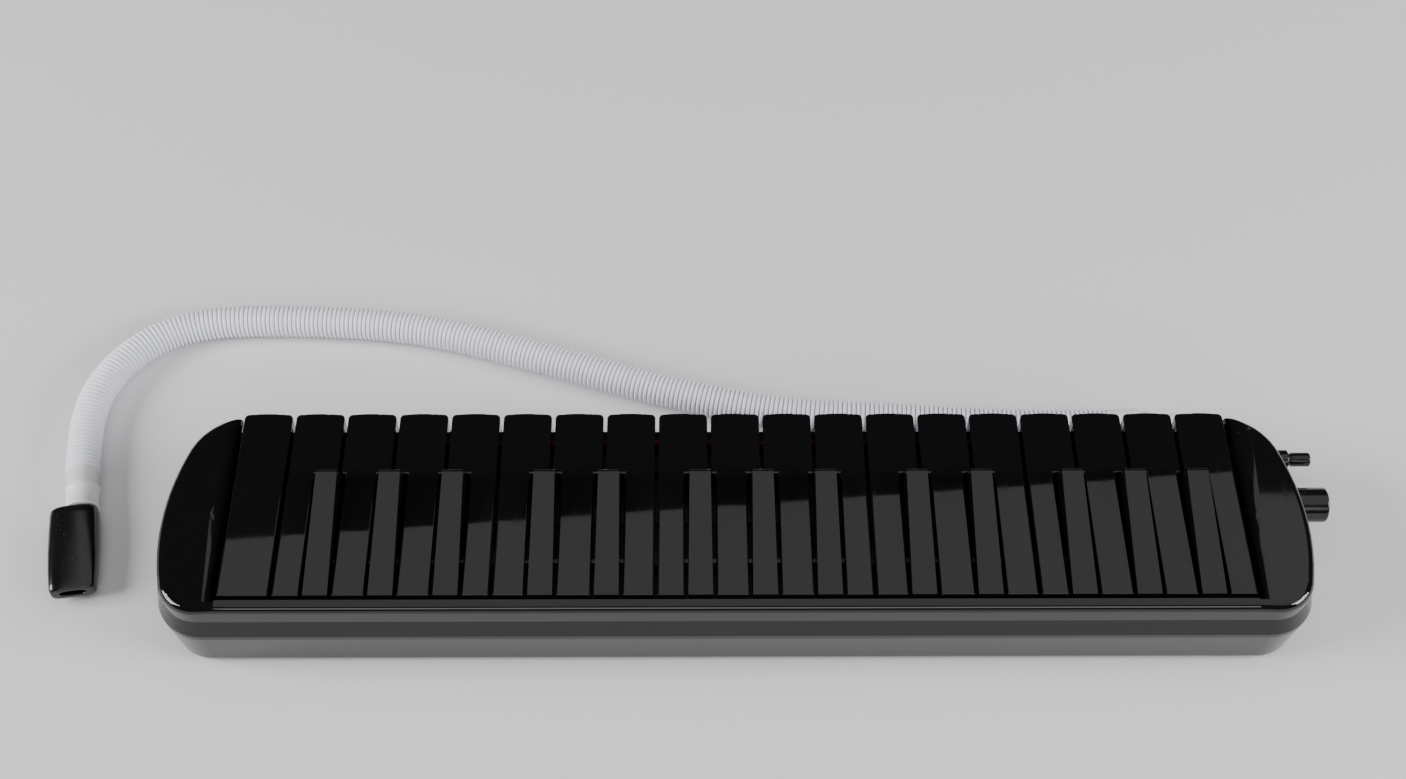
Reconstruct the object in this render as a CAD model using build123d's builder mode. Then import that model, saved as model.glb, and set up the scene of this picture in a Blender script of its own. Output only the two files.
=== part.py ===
from build123d import *
from math import atan2, cos, degrees, pi, radians, sin, tan
import os

# A thirty-two-key melodica, F3 to C6, with its loose blowing hose.
# +X points to the low-note end, which carries the blow socket and the drain button,
# +Y to the player's side, under the finger ends of the keys, and +Z up.
# The origin is on the table under the middle of the instrument's overall length and depth.

os.makedirs("parts", exist_ok=True)

# Case
CASE_LENGTH = 436.0
CASE_DEPTH = 90.5
SOCKET_PROUD = 11.5
SEAM_Z = 24.0
DECK_Z = 41.0
WALL = 2.4
SKIRT_OUT = 2.5
SKIRT_TOP_Z = 32.0
SEAM_BAND = 1.0
BASE_TAPER = 7.0
BASE_EDGE_R = 5.0
DECK_EDGE_R = 3.0
REAR_CORNER_R = 18.0
FRONT_CORNER_R = 25.0
END_BOW_R = 95.0
BOW_APEX_Y = -6.5
FRONT_RAIL_TOP_Z = 28.4
LEDGE = 1.2
CHEEK_ROLL_REAR_R = 4.0
CHEEK_ROLL_FRONT_R = 11.0
CHEEK_ROLL_DEPTH = 4.0
CHEEK_SLOPE = 3.5
CHEEK_ROOF = 3.4
ROLL_MIDDLE = 0.42
ROLL_SHOULDER = 0.2
ROLL_LIFT = 0.02
DECK_DEPTH = 8.0
WELL_SIDE_GAP = 0.9
WELL_REAR_GAP = 1.3
LIP_RAIL_GAP = 1.9
FLOOR_RIB = 1.8
BOSS_R = 4.2
LEG_R = 3.6
FITTING_HOLE_LENGTH = 30.0

# Joining and cutting: how far solids overlap, how far cuts run past, and the gap of a close fit
MERGE = 0.2
CUT_OVER = 1.0
SCREW_FIT = 0.05
SCREW_GAP = 0.15

# Keyboard
PITCH = 20.0
NATURALS = 19
KEY_GAP = 1.4
KEY_LENGTH = 80.0
KEY_TOP_Z = 42.0
KEY_WALL = 1.6
KEY_PLATE = 2.0
KEY_CORNER_R = 1.8
KEY_EDGE_R = 0.6
KEY_BOW = 0.6
LIP_THICKNESS = 2.0
SKIRT_Z = 34.5
LIP_Z = 31.0
SHARP_WIDTH = 9.0
SHARP_LENGTH = 51.0
SHARP_RISE = 7.0
SHARP_DRAFT = 4.7
SHARP_CREST_R = 1.6
SHARP_ROOF_EXTRA = 1.0
SHARP_SHIFT = {"cs": 2.1, "ds": -2.1, "fs": 3.6, "gs": 0.0, "as": -3.6}
SCALE = ["c", "cs", "d", "ds", "e", "f", "fs", "g", "gs", "a", "as", "b"]
FIRST_NOTE = "f"
FIRST_OCTAVE = 3
KEY_COUNT = 32

# Key action
ROD_R = 1.5
PIVOT_CLEARANCE = 0.05
PIVOT_Z = 31.5
PIVOT_FROM_REAR = 20.0
HUB_WIDTH = 6.0
HUB_DEPTH = 7.0
HUB_BOTTOM_Z = 28.6
PAD_WIDTH = 8.0
PAD_LENGTH = 11.0
PAD_HEIGHT = 2.25
PAD_FROM_REAR = 7.5
PAD_SEAT_GAP = 0.05
PAD_PLATE = 1.8
PAD_CORNER_R = 1.0
WEB = 2.0
SPRING_SEAT_Z = 33.5
SPRING_SEAT_LENGTH = 9.0
GUIDE_RIB = 1.2
GUIDE_GAP = 0.3
GUIDE_BLADE = 3.0
GUIDE_FROM_FRONT = 11.5
GUIDE_LENGTH = 6.5

# Wind chest, from the bottom up
COVER_BOTTOM_Z = 7.0
PLATE_BOTTOM_Z = 16.6
GASKET_BOTTOM_Z = 17.9
BLOCK_BOTTOM_Z = 18.5
BLOCK_TOP_Z = 27.3
CHEST_HALF = 190.3
CHEST_DEPTH = 56.0
CHEST_WALL = 2.0
CELL_WIDTH = 7.4
LONGEST_REED = 33.0
SHORTEST_REED = 15.0
REED_WIDTH = 2.8
REED_THICKNESS = 0.25
PLATE_SPLIT = 17
CHEST_SCREW_XS = (-166.0, -83.0, 0.0, 83.0, 166.0)
CHEST_SCREW_R = 1.25
CHEST_HEAD = 1.6
CHEST_HEAD_R = 2.3
CHEST_CROSS = 2.6
CROSS_SLOT = 0.6
CROSS_DEPTH = 0.8
EAR_WIDTH = 9.0
EAR_DEPTH = 5.6
EAR_CORNER_R = 2.0
NOTE_HOLE_WIDTH = 4.6
NOTE_HOLE_LENGTH = 6.4
POST_HALF = 1.4
END_POST_HALF = 0.9
POST_HALF_DEPTH = 2.8
POST_ABOVE_ROD = 1.9
REED_SLOT_GAP = 0.3
RIVET_R = 0.6
RIVET_HEAD = 0.5
RIVET_HEAD_R = 1.15
RIVET_FROM_ROOT = 2.0
STRIP_INSET = 3.0

# Blow socket and drain valve
SOCKET_Y = 13.5
SOCKET_Z = 21.0
SOCKET_R = 6.75
SOCKET_BORE_R = 4.75
DRAIN_Y = 34.5
DRAIN_Z = 21.0
DRAIN_END = 227.5
DRAIN_SLEEVE_END = 218.5
BOX_INNER_X = 193.8
BOX_OUTER_X = 205.0
BOX_TOP_Z = 28.0
DRAIN_BOX_X = 199.5
DRAIN_BOX_Y = 38.0
DRAIN_BOX_BOTTOM_Z = 14.0
DRAIN_BOX_TOP_Z = 26.0
DRAIN_BOX_WALL = 1.3
DRAIN_SEAT_X = 206.2
DRAIN_CHAMBER_R = 3.2
DRAIN_BORE_R = 3.0
DRAIN_SLEEVE_R = 3.9
SEAT_THICKNESS = 1.2

# Hand strap and screws
STRAP_LENGTH = 200.0
STRAP_WIDTH = 32.0
STRAP_THICKNESS = 1.8
POCKET_DEPTH = 3.0
CASE_SCREW_R = 1.2
CASE_HOLE_R = 1.7
CASE_SINK_R = 3.2
CASE_SINK = 1.4
CASE_HEAD_R = 2.9
CASE_CROSS = 3.2
STRAP_GAP = 0.1
STRAP_CORNER_R = 2.0
PLATE_INSET = 9.0
PLATE_LENGTH = 13.0
PLATE_THICKNESS = 0.8
SCREW_HEAD_Z = 0.1
CASE_SCREWS = ((-201.5, -25.0), (201.5, -25.0), (-204.0, -4.0), (204.0, -4.0))
COMB_LEG_XS = (-172.0, -58.0, 58.0, 172.0)
COMB_LEG_Y = 31.5

# Hose
HOSE_R = 6.75
HOSE_Z = 6.8
HOSE_LIMP_DIAMETERS = 3.0
CUFF_LENGTH = 18.5
CUFF_NECK_R = 6.2
CUFF_RING_FROM = 8.0
CUFF_RING_TO = 9.5
CUFF_SLEEVE_R = 6.35
CUFF_LIP_FROM = 17.0
CUFF_BORE_R = 4.6
MOUTHPIECE_LENGTH = 37.0
MOUTH_OFFSET = 2.6
MOUTH_STATIONS = ((0.0, 18.6, 12.2, 4.8), (20.0, 19.1, 10.6, 4.4), (37.0, 17.4, 7.6, 3.2))
MOUTH_TIP_EDGE_R = 1.2
MOUTH_SHOULDER_R = 1.6
MOUTH_NECK_LENGTH = 11.0
MOUTH_BORE_R = 3.0
SLOT_WIDTH = 9.6
SLOT_HEIGHT = 3.2
SLOT_CORNER_R = 1.5
PLUG_SLEEVE = 14.0
PLUG_NECK = 4.0
PLUG_NECK_R = 5.6
PLUG_TIP = 14.0
PLUG_DRAFT = 0.8
PLUG_BORE_R = 3.2

# Sizes that follow from those above
CASE_X = -SOCKET_PROUD / 2
REAR_Y = -CASE_DEPTH / 2
FRONT_Y = CASE_DEPTH / 2
HALF_LENGTH = CASE_LENGTH / 2
KEY_REAR_Y = REAR_Y + DECK_DEPTH
KEY_FRONT_Y = KEY_REAR_Y + KEY_LENGTH
SHARP_FRONT_Y = KEY_REAR_Y + SHARP_LENGTH
NOTCH_Y = SHARP_FRONT_Y + KEY_GAP
KEY_ROOF_Z = KEY_TOP_Z - KEY_PLATE
PIVOT_Y = KEY_REAR_Y + PIVOT_FROM_REAR
PAD_Y = KEY_REAR_Y + PAD_FROM_REAR
GUIDE_Y = KEY_FRONT_Y - GUIDE_FROM_FRONT
KEYBOARD_HALF = PITCH * NATURALS / 2
WELL_HALF = KEYBOARD_HALF + WELL_SIDE_GAP
WELL_REAR_Y = KEY_REAR_Y - WELL_REAR_GAP
RAIL_FRONT_Y = KEY_FRONT_Y - LIP_THICKNESS - LIP_RAIL_GAP
CHEST_REAR_Y = KEY_REAR_Y + 2.0
CHEST_FRONT_Y = CHEST_REAR_Y + CHEST_DEPTH
CELL_REAR_Y = CHEST_REAR_Y + 1.8
REED_TIP_Y = CELL_REAR_Y + 8.5
SCREW_FRONT_Y = CHEST_FRONT_Y - 4.0
SCREW_REAR_Y = CHEST_REAR_Y - 1.6
SOCKET_END_X = HALF_LENGTH + SOCKET_PROUD


def level(z):
    """The horizontal plane at height z, centred on the case."""
    return Plane(origin=(CASE_X, 0, z))


def section(x):
    """The upright plane across the case at x from its middle: its own axes are Y and Z."""
    return Plane.YZ.offset(CASE_X + x)


def span(x0, x1, y0, y1):
    """A rectangle between two corners, in the open sketch."""
    with Locations(((x0 + x1) / 2, (y0 + y1) / 2)):
        Rectangle(x1 - x0, y1 - y0)


def save(piece, name):
    """Label a finished piece and write it to its own file."""
    piece.label = name
    export_step(piece, f"parts/{name}.step")


def note_table():
    """Name, kind, front span and tail span of each key, from the lowest, at +X, upwards."""
    step = SCALE.index(FIRST_NOTE)
    octave = FIRST_OCTAVE
    edge = KEYBOARD_HALF
    notes = []
    for _ in range(KEY_COUNT):
        letter = SCALE[step]
        if letter in SHARP_SHIFT:
            middle = edge + SHARP_SHIFT[letter]
            notes.append((f"{letter}{octave}", True, middle - SHARP_WIDTH / 2, middle + SHARP_WIDTH / 2))
        else:
            notes.append((f"{letter}{octave}", False, edge - PITCH + KEY_GAP / 2, edge - KEY_GAP / 2))
            edge -= PITCH
        step = (step + 1) % len(SCALE)
        if step == 0:
            octave += 1
    table = []
    for index, (name, is_sharp, x0, x1) in enumerate(notes):
        tail_0, tail_1 = x0, x1
        if not is_sharp and index + 1 < len(notes) and notes[index + 1][1]:
            tail_0 = notes[index + 1][3] + KEY_GAP
        if not is_sharp and index > 0 and notes[index - 1][1]:
            tail_1 = notes[index - 1][2] - KEY_GAP
        table.append((name, is_sharp, (x0, x1), (tail_0, tail_1)))
    return table


KEYS = note_table()
TAIL_XS = [(tail[0] + tail[1]) / 2 for _, _, _, tail in KEYS]
SHARP_XS = [(front[0] + front[1]) / 2 for _, is_sharp, front, _ in KEYS if is_sharp]
NATURAL_XS = [(front[0] + front[1]) / 2 for _, is_sharp, front, _ in KEYS if not is_sharp]
REED_LENGTHS = [
    LONGEST_REED + (SHORTEST_REED - LONGEST_REED) * index / (KEY_COUNT - 1)
    for index in range(KEY_COUNT)
]

# Two naturals meet with no sharp between them at these places, where the rod's posts fit.
POST_XS = [
    (KEYS[index][2][0] + KEYS[index + 1][2][1]) / 2
    for index in range(KEY_COUNT - 1)
    if not KEYS[index][1] and not KEYS[index + 1][1]
]


# ------------------------------------------------------------------ keys

def key_action(tail_x):
    """Under a key's top: the pivot hub, the web to its tail, the pad's plate and the spring seat."""
    inside_roof = KEY_ROOF_Z + MERGE
    pad_plate_z = BLOCK_TOP_Z + PAD_SEAT_GAP + PAD_HEIGHT
    with BuildPart() as action:
        with BuildSketch(level(HUB_BOTTOM_Z)):
            half = HUB_WIDTH / 2
            span(tail_x - half, tail_x + half, PIVOT_Y - HUB_DEPTH / 2, PIVOT_Y + HUB_DEPTH / 2)
        extrude(amount=inside_roof - HUB_BOTTOM_Z)
        with BuildSketch(level(pad_plate_z + PAD_PLATE / 2)):
            span(tail_x - WEB / 2, tail_x + WEB / 2, KEY_REAR_Y + KEY_WALL / 2, PIVOT_Y)
        extrude(amount=inside_roof - pad_plate_z - PAD_PLATE / 2)
        with BuildSketch(level(pad_plate_z)):
            half = PAD_WIDTH / 2
            span(tail_x - half, tail_x + half, PAD_Y - PAD_LENGTH / 2, PAD_Y + PAD_LENGTH / 2)
        extrude(amount=PAD_PLATE)
        with BuildSketch(level(SPRING_SEAT_Z)):
            span(tail_x - WEB, tail_x + WEB, PIVOT_Y, PIVOT_Y + SPRING_SEAT_LENGTH)
        extrude(amount=inside_roof - SPRING_SEAT_Z)
        with BuildSketch(section(tail_x)):
            with Locations((PIVOT_Y, PIVOT_Z)):
                Circle(ROD_R + PIVOT_CLEARANCE)
        extrude(amount=HUB_WIDTH, both=True, mode=Mode.SUBTRACT)
    return action.part


def rounded_front(x0, x1, y0):
    """The wide end of a natural from y0 forwards: its finger end is bowed a little."""
    corner_y = KEY_FRONT_Y - KEY_BOW
    with BuildLine() as outline:
        Polyline((x0, corner_y), (x0, y0), (x1, y0), (x1, corner_y))
        ThreePointArc((x1, corner_y), ((x0 + x1) / 2, KEY_FRONT_Y), (x0, corner_y))
    make_face(outline.edges())


def natural_lever(front, tail):
    """A natural: a moulded shell, notched beside its sharps, with a deep lip at the finger end."""
    x0, x1 = front
    t0, t1 = tail
    wall = KEY_WALL
    lip_y = KEY_FRONT_Y - LIP_THICKNESS
    with BuildPart() as lever:
        with BuildSketch(level(SKIRT_Z)):
            rounded_front(x0, x1, NOTCH_Y)
            span(t0, t1, KEY_REAR_Y, NOTCH_Y)
        extrude(amount=KEY_TOP_Z - SKIRT_Z)
        with BuildSketch(level(LIP_Z)):
            rounded_front(x0, x1, lip_y)
        extrude(amount=SKIRT_Z - LIP_Z)
        fillet(lever.edges().filter_by(Axis.Z).group_by(Axis.Y)[-1], KEY_CORNER_R)
        fillet(lever.faces().sort_by(Axis.Z)[-1].edges(), KEY_EDGE_R)
        with BuildSketch(level(SKIRT_Z)):
            span(x0 + wall, x1 - wall, NOTCH_Y + wall, lip_y)
            span(t0 + wall, t1 - wall, KEY_REAR_Y + wall, NOTCH_Y + wall)
        extrude(amount=KEY_ROOF_Z - SKIRT_Z, mode=Mode.SUBTRACT)
        rib_x = (GUIDE_BLADE + GUIDE_RIB) / 2 + GUIDE_GAP
        with BuildSketch(level(PIVOT_Z)):
            with Locations(((x0 + x1) / 2 - rib_x, GUIDE_Y), ((x0 + x1) / 2 + rib_x, GUIDE_Y)):
                Rectangle(GUIDE_RIB, GUIDE_LENGTH + 2.0)
        extrude(amount=KEY_ROOF_Z + MERGE - PIVOT_Z)
        add(key_action((t0 + t1) / 2))
    return lever.part


def sharp_lever(width):
    """A sharp: flush with the naturals at the rear, its drafted top climbs to a raised front."""
    x0, x1 = width
    middle = (x0 + x1) / 2
    crest_z = KEY_TOP_Z + SHARP_RISE
    with BuildPart() as lever:
        with BuildSketch(level(SKIRT_Z)):
            span(x0, x1, KEY_REAR_Y, SHARP_FRONT_Y)
        extrude(amount=KEY_TOP_Z - SKIRT_Z)
        with BuildSketch(level(KEY_TOP_Z)):
            span(x0, x1, KEY_REAR_Y, SHARP_FRONT_Y)
        extrude(amount=SHARP_RISE + CUT_OVER, taper=SHARP_DRAFT)
        with BuildSketch(section(middle)):
            with BuildLine():
                Polyline(
                    (KEY_REAR_Y - CUT_OVER, KEY_TOP_Z),
                    (KEY_REAR_Y, KEY_TOP_Z),
                    (SHARP_FRONT_Y, crest_z),
                    (SHARP_FRONT_Y, crest_z + 5 * CUT_OVER),
                    (KEY_REAR_Y - CUT_OVER, crest_z + 5 * CUT_OVER),
                    close=True,
                )
            make_face()
        extrude(amount=SHARP_WIDTH, both=True, mode=Mode.SUBTRACT)
        fillet(lever.edges().group_by(Axis.Z)[-1], SHARP_CREST_R)
        with BuildSketch(section(middle)):
            with BuildLine():
                Polyline(
                    (KEY_REAR_Y + KEY_WALL, SKIRT_Z),
                    (SHARP_FRONT_Y - LIP_THICKNESS, SKIRT_Z),
                    (SHARP_FRONT_Y - LIP_THICKNESS, crest_z - KEY_PLATE - SHARP_ROOF_EXTRA),
                    (KEY_REAR_Y + KEY_WALL, KEY_ROOF_Z),
                    close=True,
                )
            make_face()
        extrude(amount=SHARP_WIDTH / 2 - KEY_WALL, both=True, mode=Mode.SUBTRACT)
        add(key_action(middle))
    return lever.part


def valve_pad(tail_x):
    """The felt-and-skin pad glued under a key's tail, over that note's hole in the reed block."""
    with BuildPart() as pad:
        with BuildSketch(level(BLOCK_TOP_Z + PAD_SEAT_GAP)):
            with Locations((tail_x, PAD_Y)):
                RectangleRounded(PAD_WIDTH, PAD_LENGTH, PAD_CORNER_R)
        extrude(amount=PAD_HEIGHT)
    return pad.part


for (note, is_sharp, front, tail), tail_x in zip(KEYS, TAIL_XS):
    lever_part = sharp_lever(front) if is_sharp else natural_lever(front, tail)
    save(Compound(children=[lever_part, valve_pad(tail_x)]), f"key_{note}")


# ------------------------------------------------------------------ reed block and reeds

def chest_plan(x0, x1, grow=0.0):
    """The wind chest's plan, with an ear behind it at each rear screw."""
    span(x0, x1, CHEST_REAR_Y - grow, CHEST_FRONT_Y + grow)
    with Locations([(x, SCREW_REAR_Y) for x in CHEST_SCREW_XS if x0 < x < x1]):
        RectangleRounded(EAR_WIDTH, EAR_DEPTH, EAR_CORNER_R)


def chest_screw_spots():
    """Where the chest's screws stand, in the open sketch or part."""
    spots = [(x, SCREW_REAR_Y) for x in CHEST_SCREW_XS]
    return Locations(spots + [(x, SCREW_FRONT_Y) for x in CHEST_SCREW_XS])


with BuildPart() as reed_block:
    with BuildSketch(level(BLOCK_BOTTOM_Z)):
        chest_plan(-CHEST_HALF, CHEST_HALF)
    extrude(amount=BLOCK_TOP_Z - BLOCK_BOTTOM_Z)
    with BuildSketch(level(BLOCK_BOTTOM_Z)):
        for tail_x, length in zip(TAIL_XS, REED_LENGTHS):
            half = CELL_WIDTH / 2
            span(tail_x - half, tail_x + half, CELL_REAR_Y, REED_TIP_Y + length + 1.5)
    extrude(amount=BLOCK_TOP_Z - BLOCK_BOTTOM_Z - CHEST_WALL, mode=Mode.SUBTRACT)
    with BuildSketch(level(BLOCK_TOP_Z)):
        with Locations([(tail_x, PAD_Y) for tail_x in TAIL_XS]):
            RectangleRounded(NOTE_HOLE_WIDTH, NOTE_HOLE_LENGTH, PAD_CORNER_R)
    extrude(amount=-CHEST_WALL, mode=Mode.SUBTRACT)
    with BuildSketch(level(BLOCK_BOTTOM_Z)):
        with chest_screw_spots():
            Circle(CHEST_SCREW_R)
    extrude(amount=6.0, mode=Mode.SUBTRACT)
    for post_x in [*POST_XS, -CHEST_HALF + POST_HALF, CHEST_HALF - END_POST_HALF]:
        with BuildSketch(section(post_x)):
            span(PIVOT_Y - POST_HALF_DEPTH, PIVOT_Y + POST_HALF_DEPTH, BLOCK_TOP_Z, PIVOT_Z + POST_ABOVE_ROD)
            with Locations((PIVOT_Y, PIVOT_Z)):
                Circle(ROD_R + 0.01, mode=Mode.SUBTRACT)
        extrude(amount=POST_HALF if post_x < CHEST_HALF - CUT_OVER else END_POST_HALF, both=True)
save(reed_block.part, "reed_block")

with BuildPart() as reed_gasket:
    with BuildSketch(level(GASKET_BOTTOM_Z)):
        chest_plan(-CHEST_HALF, CHEST_HALF)
        for tail_x, length in zip(TAIL_XS, REED_LENGTHS):
            with Locations((tail_x, REED_TIP_Y + length / 2 - 0.5)):
                Rectangle(CELL_WIDTH - 0.8, length + 2.0, mode=Mode.SUBTRACT)
        with chest_screw_spots():
            Circle(CHEST_SCREW_R + SCREW_GAP, mode=Mode.SUBTRACT)
    extrude(amount=BLOCK_BOTTOM_Z - GASKET_BOTTOM_Z)
save(reed_gasket.part, "reed_gasket")


def reed_plate(x0, x1, first, last):
    """A brass plate with a slot over each reed and a hole for its rivet."""
    with BuildPart() as plate:
        with BuildSketch(level(PLATE_BOTTOM_Z)):
            chest_plan(x0, x1)
            for tail_x, length in list(zip(TAIL_XS, REED_LENGTHS))[first:last]:
                with Locations((tail_x, REED_TIP_Y + length / 2 - 2.0)):
                    Rectangle(REED_WIDTH + REED_SLOT_GAP, length - 4.0, mode=Mode.SUBTRACT)
                with Locations((tail_x, REED_TIP_Y + length - RIVET_FROM_ROOT)):
                    Circle(RIVET_R + SCREW_FIT, mode=Mode.SUBTRACT)
            with chest_screw_spots():
                Circle(CHEST_SCREW_R + SCREW_GAP, mode=Mode.SUBTRACT)
        extrude(amount=GASKET_BOTTOM_Z - PLATE_BOTTOM_Z)
    return plate.part


split_x = (TAIL_XS[PLATE_SPLIT - 1] + TAIL_XS[PLATE_SPLIT]) / 2
save(reed_plate(split_x + 0.1, CHEST_HALF, 0, PLATE_SPLIT), "reed_plate_low")
save(reed_plate(-CHEST_HALF, split_x - 0.1, PLATE_SPLIT, KEY_COUNT), "reed_plate_high")

with BuildPart() as reeds:
    with BuildSketch(level(PLATE_BOTTOM_Z - REED_THICKNESS)):
        for tail_x, length in zip(TAIL_XS, REED_LENGTHS):
            with Locations((tail_x, REED_TIP_Y + length / 2)):
                Rectangle(REED_WIDTH, length)
            with Locations((tail_x, REED_TIP_Y + length - RIVET_FROM_ROOT)):
                Circle(RIVET_R + SCREW_FIT, mode=Mode.SUBTRACT)
    extrude(amount=REED_THICKNESS)
save(reeds.part, "reeds")

with BuildPart() as reed_rivets:
    rivet_spots = [(x, REED_TIP_Y + length - RIVET_FROM_ROOT) for x, length in zip(TAIL_XS, REED_LENGTHS)]
    with BuildSketch(level(PLATE_BOTTOM_Z - REED_THICKNESS - RIVET_HEAD)):
        with Locations(rivet_spots):
            Circle(RIVET_HEAD_R)
    extrude(amount=RIVET_HEAD)
    with BuildSketch(level(PLATE_BOTTOM_Z - REED_THICKNESS - 0.1)):
        with Locations(rivet_spots):
            Circle(RIVET_R)
    extrude(amount=GASKET_BOTTOM_Z - PLATE_BOTTOM_Z + REED_THICKNESS + 0.1)
save(reed_rivets.part, "reed_rivets")

# The cover closes the wind way under the reeds. Its box at the low end joins the blow socket
# to the wind way and collects the moisture that the drain valve lets out.
with BuildPart() as wind_cover:
    with BuildSketch(level(COVER_BOTTOM_Z)):
        chest_plan(-CHEST_HALF, CHEST_HALF)
        span(CHEST_HALF - CHEST_WALL, BOX_INNER_X, SOCKET_Y - 8.0, SOCKET_Y + 6.0)
    extrude(amount=PLATE_BOTTOM_Z - COVER_BOTTOM_Z)
    with BuildSketch(level(COVER_BOTTOM_Z)):
        span(BOX_INNER_X, BOX_OUTER_X, SOCKET_Y - 8.5, SOCKET_Y + 8.5)
    extrude(amount=BOX_TOP_Z - COVER_BOTTOM_Z)
    with BuildSketch(level(DRAIN_BOX_BOTTOM_Z)):
        span(BOX_INNER_X, DRAIN_BOX_X, SOCKET_Y + 8.0, DRAIN_BOX_Y)
    extrude(amount=DRAIN_BOX_TOP_Z - DRAIN_BOX_BOTTOM_Z)
    with BuildSketch(level(COVER_BOTTOM_Z + CHEST_WALL)):
        inner = CHEST_HALF - CHEST_WALL
        span(-inner, inner, CHEST_REAR_Y + CHEST_WALL, CHEST_FRONT_Y - CHEST_WALL)
        with Locations([(x, SCREW_FRONT_Y) for x in CHEST_SCREW_XS]):
            Circle(3.2, mode=Mode.SUBTRACT)
    extrude(amount=PLATE_BOTTOM_Z - COVER_BOTTOM_Z - CHEST_WALL, mode=Mode.SUBTRACT)
    with BuildSketch(level(COVER_BOTTOM_Z + CHEST_WALL)):
        span(BOX_INNER_X + CHEST_WALL, BOX_OUTER_X - CHEST_WALL, SOCKET_Y - 6.5, SOCKET_Y + 6.5)
    extrude(amount=BOX_TOP_Z - COVER_BOTTOM_Z - 2 * CHEST_WALL, mode=Mode.SUBTRACT)
    with BuildSketch(level(DRAIN_BOX_BOTTOM_Z + DRAIN_BOX_WALL)):
        inner_y = DRAIN_BOX_Y - DRAIN_BOX_WALL
        span(BOX_INNER_X + CHEST_WALL, DRAIN_BOX_X - DRAIN_BOX_WALL, SOCKET_Y, inner_y)
    extrude(amount=DRAIN_BOX_TOP_Z - DRAIN_BOX_BOTTOM_Z - 2 * DRAIN_BOX_WALL, mode=Mode.SUBTRACT)
    with BuildSketch(section(CHEST_HALF - CHEST_WALL - 1.0)):
        span(SOCKET_Y - 6.0, SOCKET_Y + 4.0, COVER_BOTTOM_Z + CHEST_WALL, PLATE_BOTTOM_Z - CHEST_WALL)
    extrude(amount=BOX_INNER_X - CHEST_HALF + 2 * CHEST_WALL + 1.5, mode=Mode.SUBTRACT)
    with BuildSketch(section(BOX_OUTER_X)):
        with Locations((SOCKET_Y, SOCKET_Z)):
            Circle(5.65)
    extrude(amount=-CHEST_WALL, mode=Mode.SUBTRACT)
    with BuildSketch(section(DRAIN_BOX_X)):
        with Locations((DRAIN_Y - 0.5, DRAIN_Z)):
            Circle(DRAIN_CHAMBER_R - 0.3)
    extrude(amount=-DRAIN_BOX_WALL, mode=Mode.SUBTRACT)
    with BuildSketch(level(COVER_BOTTOM_Z)):
        with chest_screw_spots():
            Circle(CHEST_SCREW_R + SCREW_GAP)
    extrude(amount=PLATE_BOTTOM_Z - COVER_BOTTOM_Z, mode=Mode.SUBTRACT)
save(wind_cover.part, "wind_cover")

with BuildPart() as chest_screws:
    with BuildSketch(level(COVER_BOTTOM_Z - CHEST_HEAD)):
        with chest_screw_spots():
            Circle(CHEST_HEAD_R)
    extrude(amount=CHEST_HEAD)
    with BuildSketch(level(COVER_BOTTOM_Z - 0.1)):
        with chest_screw_spots():
            Circle(CHEST_SCREW_R - SCREW_FIT)
    extrude(amount=BLOCK_BOTTOM_Z + 5.0 - COVER_BOTTOM_Z + 0.1)
    with BuildSketch(level(COVER_BOTTOM_Z - CHEST_HEAD)):
        with chest_screw_spots():
            Rectangle(CHEST_CROSS, CROSS_SLOT)
            Rectangle(CROSS_SLOT, CHEST_CROSS)
    extrude(amount=CROSS_DEPTH, mode=Mode.SUBTRACT)
save(chest_screws.part, "chest_screws")


# ------------------------------------------------------------------ pivot, springs and guides

with BuildPart() as key_rod:
    with BuildSketch(section(-CHEST_HALF)):
        with Locations((PIVOT_Y, PIVOT_Z)):
            Circle(ROD_R)
    extrude(amount=2 * CHEST_HALF)
    chamfer(key_rod.edges().group_by(Axis.X)[0] + key_rod.edges().group_by(Axis.X)[-1], 0.3)
save(key_rod.part, "key_rod")

# Each leaf of the spring strip rises behind its foot to push its key up ahead of the pivot.
SPRING_FOOT_Y = PIVOT_Y + 12.0
SPRING_TIP_Y = PIVOT_Y + 5.0
SPRING_TIP_Z = SPRING_SEAT_Z - 1.1
LEAF = 0.4
with BuildPart() as spring_strip:
    with BuildSketch(level(BLOCK_TOP_Z)):
        span(-CHEST_HALF + STRIP_INSET, CHEST_HALF - STRIP_INSET, SPRING_FOOT_Y - 0.5, SPRING_FOOT_Y + 5.0)
    extrude(amount=LEAF)
    for tail_x in TAIL_XS:
        with BuildSketch(section(tail_x)):
            with BuildLine():
                Polyline(
                    (SPRING_FOOT_Y, BLOCK_TOP_Z),
                    (SPRING_FOOT_Y, BLOCK_TOP_Z + LEAF),
                    (SPRING_TIP_Y + 1.2, SPRING_TIP_Z),
                    (SPRING_TIP_Y, SPRING_TIP_Z),
                    (SPRING_TIP_Y, SPRING_TIP_Z - LEAF),
                    (SPRING_TIP_Y + 1.0, SPRING_TIP_Z - LEAF),
                    (SPRING_FOOT_Y - 0.6, BLOCK_TOP_Z),
                    close=True,
                )
            make_face()
        extrude(amount=1.5, both=True)
save(spring_strip.part, "spring_strip")

SHARP_GUIDE_Y = PIVOT_Y + 22.0
with BuildPart() as sharp_guide:
    with BuildSketch(level(BLOCK_TOP_Z)):
        span(-CHEST_HALF + STRIP_INSET, CHEST_HALF - STRIP_INSET, SHARP_GUIDE_Y - 4.0, SHARP_GUIDE_Y + 4.0)
    extrude(amount=1.7)
    with BuildSketch(level(BLOCK_TOP_Z + 1.7)):
        with Locations([(x, SHARP_GUIDE_Y) for x in SHARP_XS]):
            RectangleRounded(SHARP_WIDTH - 2 * KEY_WALL - 0.8, GUIDE_LENGTH, 0.8)
    extrude(amount=9.0)
save(sharp_guide.part, "sharp_guide")

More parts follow.
